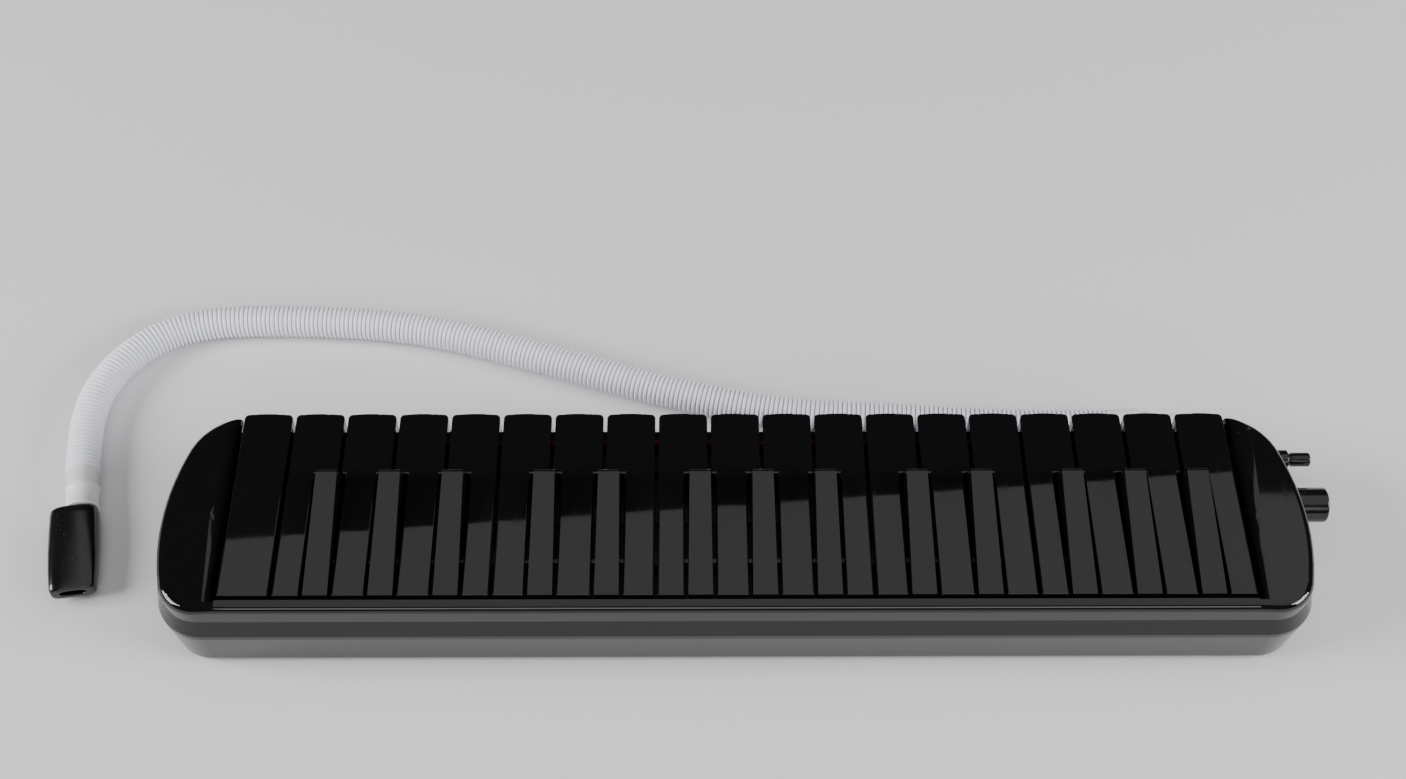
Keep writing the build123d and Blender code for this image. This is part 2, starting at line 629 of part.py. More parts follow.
with BuildPart() as natural_guide:
    with BuildSketch(level(SEAM_Z - 2.0)):
        span(-CHEST_HALF + STRIP_INSET, CHEST_HALF - STRIP_INSET, COMB_LEG_Y - 5.0, RAIL_FRONT_Y - WALL - 0.3)
    extrude(amount=2.5)
    with BuildSketch(level(SEAM_Z + 0.5)):
        with Locations([(x, GUIDE_Y) for x in NATURAL_XS]):
            RectangleRounded(GUIDE_BLADE, GUIDE_LENGTH, 0.8)
    extrude(amount=10.0)
    with BuildSketch(level(WALL)):
        with Locations([(x, COMB_LEG_Y) for x in COMB_LEG_XS]):
            Circle(LEG_R)
    extrude(amount=SEAM_Z - 2.0 - WALL)
    with BuildSketch(level(WALL)):
        with Locations([(x, COMB_LEG_Y) for x in COMB_LEG_XS]):
            Circle(1.3)
    extrude(amount=12.0, mode=Mode.SUBTRACT)
save(natural_guide.part, "natural_guide")

with BuildPart() as key_felt:
    with BuildSketch(level(FRONT_RAIL_TOP_Z)):
        span(-CHEST_HALF + 1.0, CHEST_HALF - 1.0, RAIL_FRONT_Y - WALL + 0.2, RAIL_FRONT_Y - 0.2)
    extrude(amount=0.9)
save(key_felt.part, "key_felt")


# ------------------------------------------------------------------ case

def case_plan(inset):
    """Plan of the case with bowed ends and rounded corners, inset from its widest outline."""
    rear_x = HALF_LENGTH - (BOW_APEX_Y - REAR_Y) ** 2 / (2 * END_BOW_R)
    front_x = HALF_LENGTH - (FRONT_Y - BOW_APEX_Y) ** 2 / (2 * END_BOW_R)
    with BuildSketch() as plan:
        with BuildLine():
            Line((-rear_x, REAR_Y), (rear_x, REAR_Y))
            ThreePointArc((rear_x, REAR_Y), (HALF_LENGTH, BOW_APEX_Y), (front_x, FRONT_Y))
            Line((front_x, FRONT_Y), (-front_x, FRONT_Y))
            ThreePointArc((-front_x, FRONT_Y), (-HALF_LENGTH, BOW_APEX_Y), (-rear_x, REAR_Y))
        make_face()
        fillet(plan.vertices().group_by(Axis.Y)[0], REAR_CORNER_R)
        fillet(plan.vertices().group_by(Axis.Y)[-1], FRONT_CORNER_R)
        if inset:
            offset(amount=-inset)
    return plan.sketch


def cheek_height(x):
    """The deck's height at x from the middle: past the keyboard's end it falls away outwards."""
    return DECK_Z - (x - KEYBOARD_HALF) * tan(radians(CHEEK_SLOPE))


def is_ridge(edge):
    """True for the two straight lines across the deck where the cheeks begin to fall."""
    return edge.geom_type == GeomType.LINE and abs(edge.tangent_at(0).Y) > 0.99


def end_fittings():
    """The round holes that the blow socket and the drain sleeve pass through, across the seam."""
    with BuildPart() as holes:
        with BuildSketch(section(BOX_OUTER_X + 1.0)):
            with Locations((SOCKET_Y, SOCKET_Z)):
                Circle(SOCKET_R + SCREW_FIT)
        extrude(amount=FITTING_HOLE_LENGTH)
        with BuildSketch(section(DRAIN_BOX_X)):
            with Locations((DRAIN_Y, DRAIN_Z)):
                Circle(DRAIN_SLEEVE_R + SCREW_FIT)
        extrude(amount=FITTING_HOLE_LENGTH)
        with BuildSketch(level(DRAIN_BOX_BOTTOM_Z - 0.5)):
            span(BOX_INNER_X - 0.2, DRAIN_BOX_X + 0.4, SOCKET_Y, DRAIN_BOX_Y + 0.4)
        extrude(amount=DRAIN_BOX_TOP_Z - DRAIN_BOX_BOTTOM_Z + 1.0)
    return holes.part


with BuildPart() as lower_shell:
    with BuildSketch(level(SEAM_Z - SEAM_BAND)):
        add(case_plan(0))
    extrude(amount=SEAM_BAND)
    with BuildSketch(level(SEAM_Z - SEAM_BAND)):
        add(case_plan(0))
    extrude(amount=-(SEAM_Z - SEAM_BAND), taper=BASE_TAPER)
    fillet(lower_shell.faces().sort_by(Axis.Z)[0].edges(), BASE_EDGE_R)
    with BuildSketch(level(SEAM_Z)):
        add(case_plan(WALL))
    extrude(amount=-(SEAM_Z - WALL), taper=BASE_TAPER, mode=Mode.SUBTRACT)
    with BuildSketch(level(WALL)):
        for rib_y in (CHEST_REAR_Y + 6.0, CHEST_FRONT_Y - 8.0):
            span(-CHEST_HALF + 8.0, CHEST_HALF - 8.0, rib_y - FLOOR_RIB / 2, rib_y + FLOOR_RIB / 2)
    extrude(amount=COVER_BOTTOM_Z - WALL)
    pocket_half = STRAP_LENGTH / 2 + 4.0
    pocket_side = STRAP_WIDTH / 2 + 2.5
    with BuildSketch(level(WALL)):
        span(-pocket_half - WALL, pocket_half + WALL, -pocket_side - WALL, pocket_side + WALL)
    extrude(amount=POCKET_DEPTH)
    with BuildSketch(level(0)):
        RectangleRounded(2 * pocket_half, 2 * pocket_side, 6.0)
    extrude(amount=POCKET_DEPTH, mode=Mode.SUBTRACT)
    with BuildSketch(level(WALL)):
        with Locations(*CASE_SCREWS):
            Circle(BOSS_R)
    extrude(amount=SEAM_Z - WALL)
    with BuildSketch(level(0)):
        with Locations(*CASE_SCREWS, *[(x, COMB_LEG_Y) for x in COMB_LEG_XS]):
            Circle(CASE_HOLE_R)
    extrude(amount=SEAM_Z, mode=Mode.SUBTRACT)
    with BuildSketch(level(0)):
        with Locations(*CASE_SCREWS, *[(x, COMB_LEG_Y) for x in COMB_LEG_XS]):
            Circle(CASE_SINK_R)
    extrude(amount=CASE_SINK, mode=Mode.SUBTRACT)
    add(end_fittings(), mode=Mode.SUBTRACT)
save(lower_shell.part, "lower_shell")

with BuildPart() as upper_shell:
    with BuildSketch(level(SEAM_Z)):
        add(case_plan(SKIRT_OUT))
    extrude(amount=DECK_Z - SEAM_Z)
    with BuildSketch(Plane(origin=(CASE_X, CASE_DEPTH, 0), x_dir=(1, 0, 0), z_dir=(0, -1, 0))):
        with BuildLine():
            Polyline(
                (-HALF_LENGTH, 0),
                (-HALF_LENGTH, cheek_height(HALF_LENGTH)),
                (-KEYBOARD_HALF, DECK_Z),
                (KEYBOARD_HALF, DECK_Z),
                (HALF_LENGTH, cheek_height(HALF_LENGTH)),
                (HALF_LENGTH, 0),
                close=True,
            )
        make_face()
    extrude(amount=2 * CASE_DEPTH, mode=Mode.INTERSECT)
    tops = upper_shell.faces().filter_by(lambda face: face.normal_at().Z > 0.9)
    fillet([edge for edge in tops.edges() if not is_ridge(edge)], DECK_EDGE_R)
    with BuildSketch(level(SEAM_Z)):
        add(case_plan(0))
    extrude(amount=SEAM_BAND)
    with BuildSketch(level(SEAM_Z + SEAM_BAND)):
        add(case_plan(0))
    skirt_height = SKIRT_TOP_Z - SEAM_Z - SEAM_BAND
    extrude(amount=skirt_height, taper=degrees(atan2(SKIRT_OUT, skirt_height)))
    with BuildSketch(level(SEAM_Z)):
        add(case_plan(SKIRT_OUT + WALL))
        Rectangle(2 * (WELL_HALF + WALL), 2 * CASE_DEPTH, mode=Mode.SUBTRACT)
    extrude(amount=DECK_Z - CHEEK_ROOF - SEAM_Z, mode=Mode.SUBTRACT)
    with BuildSketch(level(SEAM_Z)):
        span(-WELL_HALF, WELL_HALF, WELL_REAR_Y, FRONT_Y + 5.0)
    extrude(amount=DECK_Z, mode=Mode.SUBTRACT)
    with BuildSketch(level(SEAM_Z)):
        span(-WELL_HALF, WELL_HALF, REAR_Y + SKIRT_OUT + WALL, WELL_REAR_Y + 1.0)
    extrude(amount=DECK_Z - WALL - SEAM_Z, mode=Mode.SUBTRACT)
    with BuildSketch(level(SEAM_Z)):
        span(-WELL_HALF - 1.0, WELL_HALF + 1.0, RAIL_FRONT_Y - WALL, RAIL_FRONT_Y)
    extrude(amount=FRONT_RAIL_TOP_Z - SEAM_Z)
    with BuildSketch(level(SEAM_Z)):
        span(-WELL_HALF - 1.0, WELL_HALF + 1.0, RAIL_FRONT_Y - WALL, FRONT_Y)
    extrude(amount=LEDGE)
    for side in (-1, 1):
        # The cheeks roll down towards the keys, and the roll widens towards the front.
        rolls = ((WELL_REAR_Y - 0.5, CHEEK_ROLL_REAR_R), (FRONT_Y + 1.0, CHEEK_ROLL_FRONT_R))
        for roll_y, roll_r in rolls:
            foot, middle, crest = WELL_HALF, WELL_HALF + ROLL_MIDDLE * roll_r, WELL_HALF + roll_r
            plane = Plane(origin=(CASE_X, roll_y, 0), x_dir=(side, 0, 0), z_dir=(0, -side, 0))
            with BuildSketch(plane):
                with BuildLine():
                    Spline(
                        (foot, cheek_height(foot) - CHEEK_ROLL_DEPTH),
                        (middle, cheek_height(middle) - ROLL_SHOULDER * CHEEK_ROLL_DEPTH),
                        (crest, cheek_height(crest) + ROLL_LIFT),
                        tangents=((0.25, 1), (1, -tan(radians(CHEEK_SLOPE)))),
                    )
                    Polyline(
                        (crest, cheek_height(crest) + ROLL_LIFT),
                        (crest, DECK_Z + CUT_OVER),
                        (foot - CUT_OVER, DECK_Z + CUT_OVER),
                        (foot - CUT_OVER, cheek_height(foot) - CHEEK_ROLL_DEPTH),
                        (foot, cheek_height(foot) - CHEEK_ROLL_DEPTH),
                    )
                make_face()
        loft(mode=Mode.SUBTRACT)
    with BuildSketch(level(SEAM_Z)):
        with Locations(*CASE_SCREWS):
            Circle(4.0)
    extrude(amount=DECK_Z - CHEEK_ROOF - SEAM_Z)
    with BuildSketch(level(SEAM_Z)):
        with Locations(*CASE_SCREWS):
            Circle(CASE_SCREW_R + SCREW_FIT)
    extrude(amount=10.0, mode=Mode.SUBTRACT)
    add(end_fittings(), mode=Mode.SUBTRACT)
save(upper_shell.part, "upper_shell")

# Four long screws clamp the shells together and four short ones hold the naturals' guide.
with BuildPart() as case_screws:
    leg_spots = [(x, COMB_LEG_Y) for x in COMB_LEG_XS]
    with BuildSketch(level(SCREW_HEAD_Z)):
        with Locations(*CASE_SCREWS, *leg_spots):
            Circle(CASE_HEAD_R)
    extrude(amount=1.3)
    with BuildSketch(level(SCREW_HEAD_Z + 1.2)):
        with Locations(*CASE_SCREWS):
            Circle(CASE_SCREW_R)
    extrude(amount=SEAM_Z + 8.0 - SCREW_HEAD_Z)
    with BuildSketch(level(SCREW_HEAD_Z + 1.2)):
        with Locations(*leg_spots):
            Circle(CASE_SCREW_R)
    extrude(amount=12.0)
    with BuildSketch(level(SCREW_HEAD_Z)):
        with Locations(*CASE_SCREWS, *leg_spots):
            Rectangle(CASE_CROSS, CROSS_SLOT)
            Rectangle(CROSS_SLOT, CASE_CROSS)
    extrude(amount=CROSS_DEPTH, mode=Mode.SUBTRACT)
save(case_screws.part, "case_screws")

# The strap lies flat in a pocket of the underside, under a plate at each end.
with BuildPart() as hand_strap:
    with BuildSketch(level(POCKET_DEPTH - STRAP_GAP)):
        RectangleRounded(STRAP_LENGTH, STRAP_WIDTH, STRAP_CORNER_R)
    extrude(amount=-STRAP_THICKNESS)
save(hand_strap.part, "hand_strap")

with BuildPart() as strap_plates:
    plate_spots = [(-STRAP_LENGTH / 2 + PLATE_INSET, 0), (STRAP_LENGTH / 2 - PLATE_INSET, 0)]
    with BuildSketch(level(POCKET_DEPTH - STRAP_GAP - STRAP_THICKNESS)):
        with Locations(*plate_spots):
            RectangleRounded(PLATE_LENGTH, STRAP_WIDTH + 1.0, 3.0)
    extrude(amount=-PLATE_THICKNESS)
save(strap_plates.part, "strap_plates")


# ------------------------------------------------------------------ blow socket and drain valve

def rod(x0, x1, radius, y, z, bore=0.0):
    """A round bar, or a tube, along X between two distances from the case's middle."""
    with BuildPart() as turned:
        with BuildSketch(section(x0)):
            with Locations((y, z)):
                Circle(radius)
                if bore:
                    Circle(bore, mode=Mode.SUBTRACT)
        extrude(amount=x1 - x0)
    return turned.part


with BuildPart() as blow_socket:
    collar_x = BOX_OUTER_X + 1.5
    add(rod(BOX_OUTER_X - CHEST_WALL, collar_x, 5.6, SOCKET_Y, SOCKET_Z, bore=SOCKET_BORE_R))
    add(rod(collar_x, collar_x + 2.0, 8.4, SOCKET_Y, SOCKET_Z, bore=SOCKET_BORE_R))
    add(rod(collar_x + 2.0, SOCKET_END_X, SOCKET_R, SOCKET_Y, SOCKET_Z, bore=SOCKET_BORE_R))
    fillet(blow_socket.edges().group_by(Axis.X)[-1].sort_by(SortBy.LENGTH)[-1], 0.8)
save(blow_socket.part, "blow_socket")

with BuildPart() as socket_seal:
    add(rod(BOX_OUTER_X, collar_x, 8.2, SOCKET_Y, SOCKET_Z, bore=5.65))
save(socket_seal.part, "socket_seal")

# The sleeve is the drain valve's body: a chamber for the disc, a seat, and a bore for the button.
SEAT_INNER_X = DRAIN_SEAT_X - SEAT_THICKNESS
STEM_R = 1.2
with BuildPart() as drain_sleeve:
    add(rod(DRAIN_BOX_X, SEAT_INNER_X, DRAIN_SLEEVE_R, DRAIN_Y, DRAIN_Z, bore=DRAIN_CHAMBER_R))
    add(rod(SEAT_INNER_X, DRAIN_SEAT_X, DRAIN_SLEEVE_R, DRAIN_Y, DRAIN_Z, bore=STEM_R + 0.7))
    add(rod(DRAIN_SEAT_X, DRAIN_SLEEVE_END, DRAIN_SLEEVE_R, DRAIN_Y, DRAIN_Z, bore=DRAIN_BORE_R))
    fillet(drain_sleeve.edges().group_by(Axis.X)[-1].sort_by(SortBy.LENGTH)[-1], 0.5)
save(drain_sleeve.part, "drain_sleeve")

# The button slides in the sleeve. Its stem carries the disc and the rubber that meets the seat.
BUTTON_FOOT_X = DRAIN_SEAT_X + 7.0
DISC_X = SEAT_INNER_X - 1.4
DISC_R = DRAIN_CHAMBER_R - 0.35
with BuildPart() as drain_button:
    add(rod(BUTTON_FOOT_X, DRAIN_SLEEVE_END + 0.4, DRAIN_BORE_R - 0.05, DRAIN_Y, DRAIN_Z))
    add(rod(DRAIN_SLEEVE_END + 0.4, DRAIN_SLEEVE_END + 1.6, 2.3, DRAIN_Y, DRAIN_Z))
    add(rod(DRAIN_SLEEVE_END + 1.6, DRAIN_END, 2.8, DRAIN_Y, DRAIN_Z))
    fillet(drain_button.edges().group_by(Axis.X)[-1], 0.7)
    add(rod(DISC_X, BUTTON_FOOT_X, STEM_R, DRAIN_Y, DRAIN_Z))
    add(rod(DISC_X - 1.0, DISC_X, DISC_R, DRAIN_Y, DRAIN_Z))
save(drain_button.part, "drain_button")

with BuildPart() as drain_seal:
    add(rod(DISC_X, SEAT_INNER_X - 0.05, DISC_R, DRAIN_Y, DRAIN_Z, bore=STEM_R + 0.02))
save(drain_seal.part, "drain_seal")

SPRING_WIRE_R = 0.22
SPRING_COIL_R = 2.1
SPRING_TURNS = 5.5
SPRING_HEIGHT = BUTTON_FOOT_X - DRAIN_SEAT_X - 2 * SPRING_WIRE_R - 0.3
with BuildPart() as drain_spring:
    spring_foot = (CASE_X + DRAIN_SEAT_X + SPRING_WIRE_R + 0.15, DRAIN_Y, DRAIN_Z)
    with BuildLine() as coil:
        helix = Helix(
            SPRING_HEIGHT / SPRING_TURNS, SPRING_HEIGHT, SPRING_COIL_R, center=spring_foot, direction=(1, 0, 0)
        )
    with BuildSketch(Plane(origin=helix @ 0, z_dir=helix % 0)):
        Circle(SPRING_WIRE_R)
    sweep(path=helix, is_frenet=True)
save(drain_spring.part, "drain_spring")


# ------------------------------------------------------------------ hose

# The hose lies loose on the table in front of the keys, then round past the high-note end.
# These points are its route from the plug's mouth to the mouthpiece's cuff.
HOSE_ROUTE = [
    (147.0, 60.5),
    (109.0, 60.2),
    (64.0, 64.0),
    (17.0, 66.3),
    (-34.0, 77.5),
    (-90.0, 97.0),
    (-138.0, 111.5),
    (-190.0, 115.0),
    (-228.0, 114.1),
    (-249.9, 104.3),
    (-265.0, 85.7),
    (-269.8, 62.2),
    (-266.0, 38.7),
]


def arc_radii(route):
    """The largest tangent arc for each corner of a route: 0.45 of its shorter run."""
    radii = []
    for before, corner, after in zip(route, route[1:], route[2:]):
        arriving = Vector(*corner) - Vector(*before)
        leaving = Vector(*after) - Vector(*corner)
        turn = arriving.get_angle(leaving)
        shorter = min(arriving.length, leaving.length)
        radii.append(0.45 * shorter / tan(radians(turn) / 2))
    return radii


hose_points = [(x, y, HOSE_Z) for x, y in HOSE_ROUTE]
hose_radii = arc_radii(hose_points)
print("hose arc radii", [round(radius) for radius in hose_radii])
assert min(hose_radii) >= HOSE_LIMP_DIAMETERS * 2 * HOSE_R

with BuildPart() as hose_tube:
    with BuildLine():
        hose_line = FilletPolyline(*hose_points, radius=hose_radii)
    with BuildSketch(Plane(origin=hose_line @ 0, z_dir=hose_line % 0)):
        Circle(HOSE_R)
    sweep(path=hose_line)
expected = pi * HOSE_R**2 * hose_line.length
print(f"hose length {hose_line.length:.1f}, volume ratio {hose_tube.part.volume / expected:.4f}")
save(hose_tube.part, "hose_tube")

# Each end's frame points away from the hose along its axis.
plug_frame = Plane(origin=hose_line @ 0, x_dir=(0, 0, 1), z_dir=-(hose_line % 0))
cuff_axis = hose_line % 1
cuff_frame = Plane(origin=hose_line @ 1, x_dir=cuff_axis.cross(Vector(0, 0, -1)), z_dir=cuff_axis)

with BuildPart() as hose_plug:
    with BuildSketch(plug_frame):
        Circle(HOSE_R)
    extrude(amount=PLUG_SLEEVE)
    with BuildSketch(plug_frame.offset(PLUG_SLEEVE)):
        Circle(PLUG_NECK_R)
    extrude(amount=PLUG_NECK)
    with BuildSketch(plug_frame.offset(PLUG_SLEEVE + PLUG_NECK)):
        Circle(SOCKET_BORE_R)
    extrude(amount=PLUG_TIP, taper=PLUG_DRAFT)
    with BuildSketch(plug_frame.offset(1.0)):
        Circle(PLUG_BORE_R)
    extrude(amount=2 * (PLUG_SLEEVE + PLUG_NECK), mode=Mode.SUBTRACT)
save(hose_plug.part, "hose_plug")

# The cuff's neck, its grip ring, its sleeve and its rolled lip, each from one distance to the next.
with BuildPart() as hose_cuff:
    for start, end, radius in (
        (0, CUFF_RING_FROM, CUFF_NECK_R),
        (CUFF_RING_FROM, CUFF_RING_TO, HOSE_R),
        (CUFF_RING_TO, CUFF_LIP_FROM, CUFF_SLEEVE_R),
        (CUFF_LIP_FROM, CUFF_LENGTH, HOSE_R),
    ):
        with BuildSketch(cuff_frame.offset(start)):
            Circle(radius)
        extrude(amount=end - start)
    with BuildSketch(cuff_frame.offset(1.0)):
        Circle(CUFF_BORE_R)
    extrude(amount=CUFF_LENGTH, mode=Mode.SUBTRACT)
save(hose_cuff.part, "hose_cuff")

# The mouthpiece's round neck plugs into the cuff, and its flat body stands a little to one side.
mouth_frame = cuff_frame.offset(CUFF_LENGTH)
body_middle = Location((-MOUTH_OFFSET, 0))
with BuildPart() as mouthpiece:
    for distance, width, height, corner_r in MOUTH_STATIONS:
        with BuildSketch(mouth_frame.offset(distance)):
            with Locations(body_middle):
                RectangleRounded(width, height, corner_r)
    loft()
    fillet(mouthpiece.faces().sort_by(Axis.Y)[0].edges(), MOUTH_TIP_EDGE_R)
    fillet(mouthpiece.faces().sort_by(Axis.Y)[-1].edges(), MOUTH_SHOULDER_R)
    with BuildSketch(mouth_frame.offset(0.5)):
        Circle(CUFF_BORE_R - SCREW_FIT)
    extrude(amount=-MOUTH_NECK_LENGTH)
    with BuildSketch(mouth_frame.offset(0.5 - MOUTH_NECK_LENGTH)):
        Circle(MOUTH_BORE_R)
    extrude(amount=MOUTH_NECK_LENGTH + 4.0, mode=Mode.SUBTRACT)
    with BuildSketch(mouth_frame.offset(3.0)):
        with Locations(body_middle):
            RectangleRounded(SLOT_WIDTH, SLOT_HEIGHT, SLOT_CORNER_R)
    extrude(amount=MOUTHPIECE_LENGTH, mode=Mode.SUBTRACT)
save(mouthpiece.part, "mouthpiece")
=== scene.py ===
import math

import bpy
from mathutils import Matrix, Vector


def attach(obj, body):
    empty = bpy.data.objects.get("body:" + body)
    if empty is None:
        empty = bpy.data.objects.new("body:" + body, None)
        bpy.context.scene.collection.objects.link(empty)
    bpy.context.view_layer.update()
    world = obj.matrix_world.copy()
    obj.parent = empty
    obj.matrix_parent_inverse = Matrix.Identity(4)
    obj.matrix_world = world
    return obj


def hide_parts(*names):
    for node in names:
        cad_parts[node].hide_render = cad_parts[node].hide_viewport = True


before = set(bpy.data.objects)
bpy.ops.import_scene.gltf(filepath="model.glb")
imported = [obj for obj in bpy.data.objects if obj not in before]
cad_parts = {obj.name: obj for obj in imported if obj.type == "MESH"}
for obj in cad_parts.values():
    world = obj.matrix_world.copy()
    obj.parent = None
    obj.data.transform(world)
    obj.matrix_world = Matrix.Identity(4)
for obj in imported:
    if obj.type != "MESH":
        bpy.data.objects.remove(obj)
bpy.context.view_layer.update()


# Camera. It stands behind the instrument's rear deck, a little to the high notes' side,
# and looks down across the keys towards the player's side.
view_centre = Vector((-0.01795, 0.0539, 0.042))
eye = Vector((-0.0254, -0.3677, 0.6381))
tilt = 0.77
camera_data = bpy.data.cameras.new("camera")
camera_data.lens = 47.8
camera_data.sensor_width = 36.0
camera = bpy.data.objects.new("camera", camera_data)
bpy.context.collection.objects.link(camera)
toward = (view_centre - eye).to_track_quat("-Z", "Y").to_matrix().to_4x4()
camera.matrix_world = Matrix.Translation(eye) @ toward @ Matrix.Rotation(math.radians(tilt), 4, "Z")
bpy.context.scene.camera = camera


# Blowing hose. A corrugated tube blown from soft white polyethylene, 13.5 mm across its ribs.
# It lies on the table in front of the keys and turns round the high-note end.
hose_radius = 0.00675
hose_valley = 0.0051
rib_pitch = 0.00186
hose_route = [
    (0.1470, 0.0605),
    (0.1090, 0.0602),
    (0.0640, 0.0640),
    (0.0170, 0.0663),
    (-0.0340, 0.0775),
    (-0.0900, 0.0970),
    (-0.1380, 0.1115),
    (-0.1900, 0.1150),
    (-0.2280, 0.1141),
    (-0.2499, 0.1043),
    (-0.2650, 0.0857),
    (-0.2698, 0.0622),
    (-0.2660, 0.0387),
]
hose_height = 0.0068


def spline_points(route, height):
    """The smooth line of a cord: points read from a spline that the route's points control."""
    data = bpy.data.curves.new("hose_line", "CURVE")
    data.dimensions = "3D"
    data.resolution_u = 40
    spline = data.splines.new("NURBS")
    spline.points.add(len(route) - 1)
    for point, (x, y) in zip(spline.points, route):
        point.co = (x, y, height, 1.0)
    spline.order_u = 3
    spline.use_endpoint_u = True
    line = bpy.data.objects.new("hose_line", data)
    mesh = bpy.data.meshes.new_from_object(line)
    points = [vertex.co.copy() for vertex in mesh.vertices]
    bpy.data.objects.remove(line)
    return points


def along(points, spacing):
    """Even steps along a line: a place and a direction at each."""
    lengths = [0.0]
    for a, b in zip(points, points[1:]):
        lengths.append(lengths[-1] + (b - a).length)
    count = round(lengths[-1] / spacing)
    steps = []
    index = 0
    for step in range(count + 1):
        wanted = lengths[-1] * step / count
        while index < len(points) - 2 and lengths[index + 1] < wanted:
            index += 1
        share = (wanted - lengths[index]) / (lengths[index + 1] - lengths[index])
        place = points[index].lerp(points[index + 1], share)
        before = points[max(index - 1, 0)]
        after = points[min(index + 2, len(points) - 1)]
        steps.append((place, (after - before).normalized()))
    return steps, lengths[-1]


def skin(name, rings, body, capped=True):
    """A smooth mesh over a row of closed rings of points, riding on a CAD body."""
    size = len(rings[0])
    faces = []
    for ring in range(len(rings) - 1):
        for i in range(size):
            j = (i + 1) % size
            low, high = ring * size, (ring + 1) * size
            faces.append((low + i, low + j, high + j, high + i))
    if capped:
        faces.append(tuple(reversed(range(size))))
        faces.append(tuple((len(rings) - 1) * size + i for i in range(size)))
    mesh = bpy.data.meshes.new(name)
    mesh.from_pydata([point for ring in rings for point in ring], [], faces)
    mesh.validate()
    mesh.set_sharp_from_angle(angle=math.radians(40))
    for face in mesh.polygons:
        face.use_smooth = True
    piece = bpy.data.objects.new(name, mesh)
    bpy.context.collection.objects.link(piece)
    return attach(piece, body)


def ring_round(centre, direction, radius, count=40):
    """A ring of points round a direction that lies level."""
    side = direction.cross(Vector((0, 0, 1))).normalized()
    lift = side.cross(direction).normalized()
    return [
        centre + radius * (math.cos(turn) * side + math.sin(turn) * lift)
        for turn in (math.tau * i / count for i in range(count))
    ]


hose_points = spline_points(hose_route, hose_height)
steps_per_rib = 8
hose_sides = 32
crest_sharpness = 0.6
hose_steps, hose_length = along(hose_points, rib_pitch / steps_per_rib)
hose_rings = []
for step, (place, direction) in enumerate(hose_steps):
    crest = abs(math.sin(math.pi * step / steps_per_rib)) ** crest_sharpness
    radius = hose_valley + crest * (hose_radius - hose_valley)
    hose_rings.append(ring_round(place, direction, radius, hose_sides))
hose = skin("hose", hose_rings, "case")


# Surface wear that every moulded plastic piece shares: a soft ripple left by the mould,
# fine hairline rubbing and a little dust. Each material mixes it in with its own amounts.
def wear_group():
    """Node group: hairline scratches, mould ripple and dust, as a roughness, a height and a mask."""
    group = bpy.data.node_groups.new("plastic_wear", "ShaderNodeTree")
    inputs = {"Ripple Size": 90.0, "Scratch Size": 260.0, "Base Roughness": 0.12, "Spread": 0.05}
    for socket, value in inputs.items():
        made = group.interface.new_socket(socket, in_out="INPUT", socket_type="NodeSocketFloat")
        made.default_value = value
    for socket in ("Roughness", "Height", "Dust"):
        group.interface.new_socket(socket, in_out="OUTPUT", socket_type="NodeSocketFloat")
    nodes, link = group.nodes, group.links.new
    given = nodes.new("NodeGroupInput")
    result = nodes.new("NodeGroupOutput")
    place = nodes.new("ShaderNodeTexCoord")
    ripple = nodes.new("ShaderNodeTexNoise")
    ripple.inputs["Detail"].default_value = 2.0
    link(place.outputs["Object"], ripple.inputs["Vector"])
    link(given.outputs["Ripple Size"], ripple.inputs["Scale"])
    stretch = nodes.new("ShaderNodeMapping")
    stretch.inputs["Scale"].default_value = (1.0, 0.06, 1.0)
    stretch.inputs["Rotation"].default_value = (0.0, 0.0, 0.35)
    link(place.outputs["Object"], stretch.inputs["Vector"])
    scratch = nodes.new("ShaderNodeTexNoise")
    scratch.inputs["Detail"].default_value = 5.0
    link(stretch.outputs["Vector"], scratch.inputs["Vector"])
    link(given.outputs["Scratch Size"], scratch.inputs["Scale"])
    thin = nodes.new("ShaderNodeMapRange")
    thin.inputs["From Min"].default_value = 0.56
    thin.inputs["From Max"].default_value = 0.72
    link(scratch.outputs["Fac"], thin.inputs["Value"])
    soft = nodes.new("ShaderNodeMapRange")
    soft.inputs["From Min"].default_value = 0.3
    soft.inputs["From Max"].default_value = 0.7
    link(ripple.outputs["Fac"], soft.inputs["Value"])
    both = nodes.new("ShaderNodeMath")
    both.operation = "MULTIPLY_ADD"
    both.inputs[1].default_value = 0.6
    link(soft.outputs["Result"], both.inputs[0])
    link(thin.outputs["Result"], both.inputs[2])
    rough = nodes.new("ShaderNodeMath")
    rough.operation = "MULTIPLY_ADD"
    link(both.outputs["Value"], rough.inputs[0])
    link(given.outputs["Spread"], rough.inputs[1])
    link(given.outputs["Base Roughness"], rough.inputs[2])
    link(rough.outputs["Value"], result.inputs["Roughness"])
    link(ripple.outputs["Fac"], result.inputs["Height"])
    speck = nodes.new("ShaderNodeTexNoise")
    speck.inputs["Scale"].default_value = 1500.0
    speck.inputs["Detail"].default_value = 1.0
    link(place.outputs["Object"], speck.inputs["Vector"])
    rare = nodes.new("ShaderNodeMapRange")
    rare.inputs["From Min"].default_value = 0.69
    rare.inputs["From Max"].default_value = 0.76
    link(speck.outputs["Fac"], rare.inputs["Value"])
    link(rare.outputs["Result"], result.inputs["Dust"])
    return group


plastic_wear = wear_group()


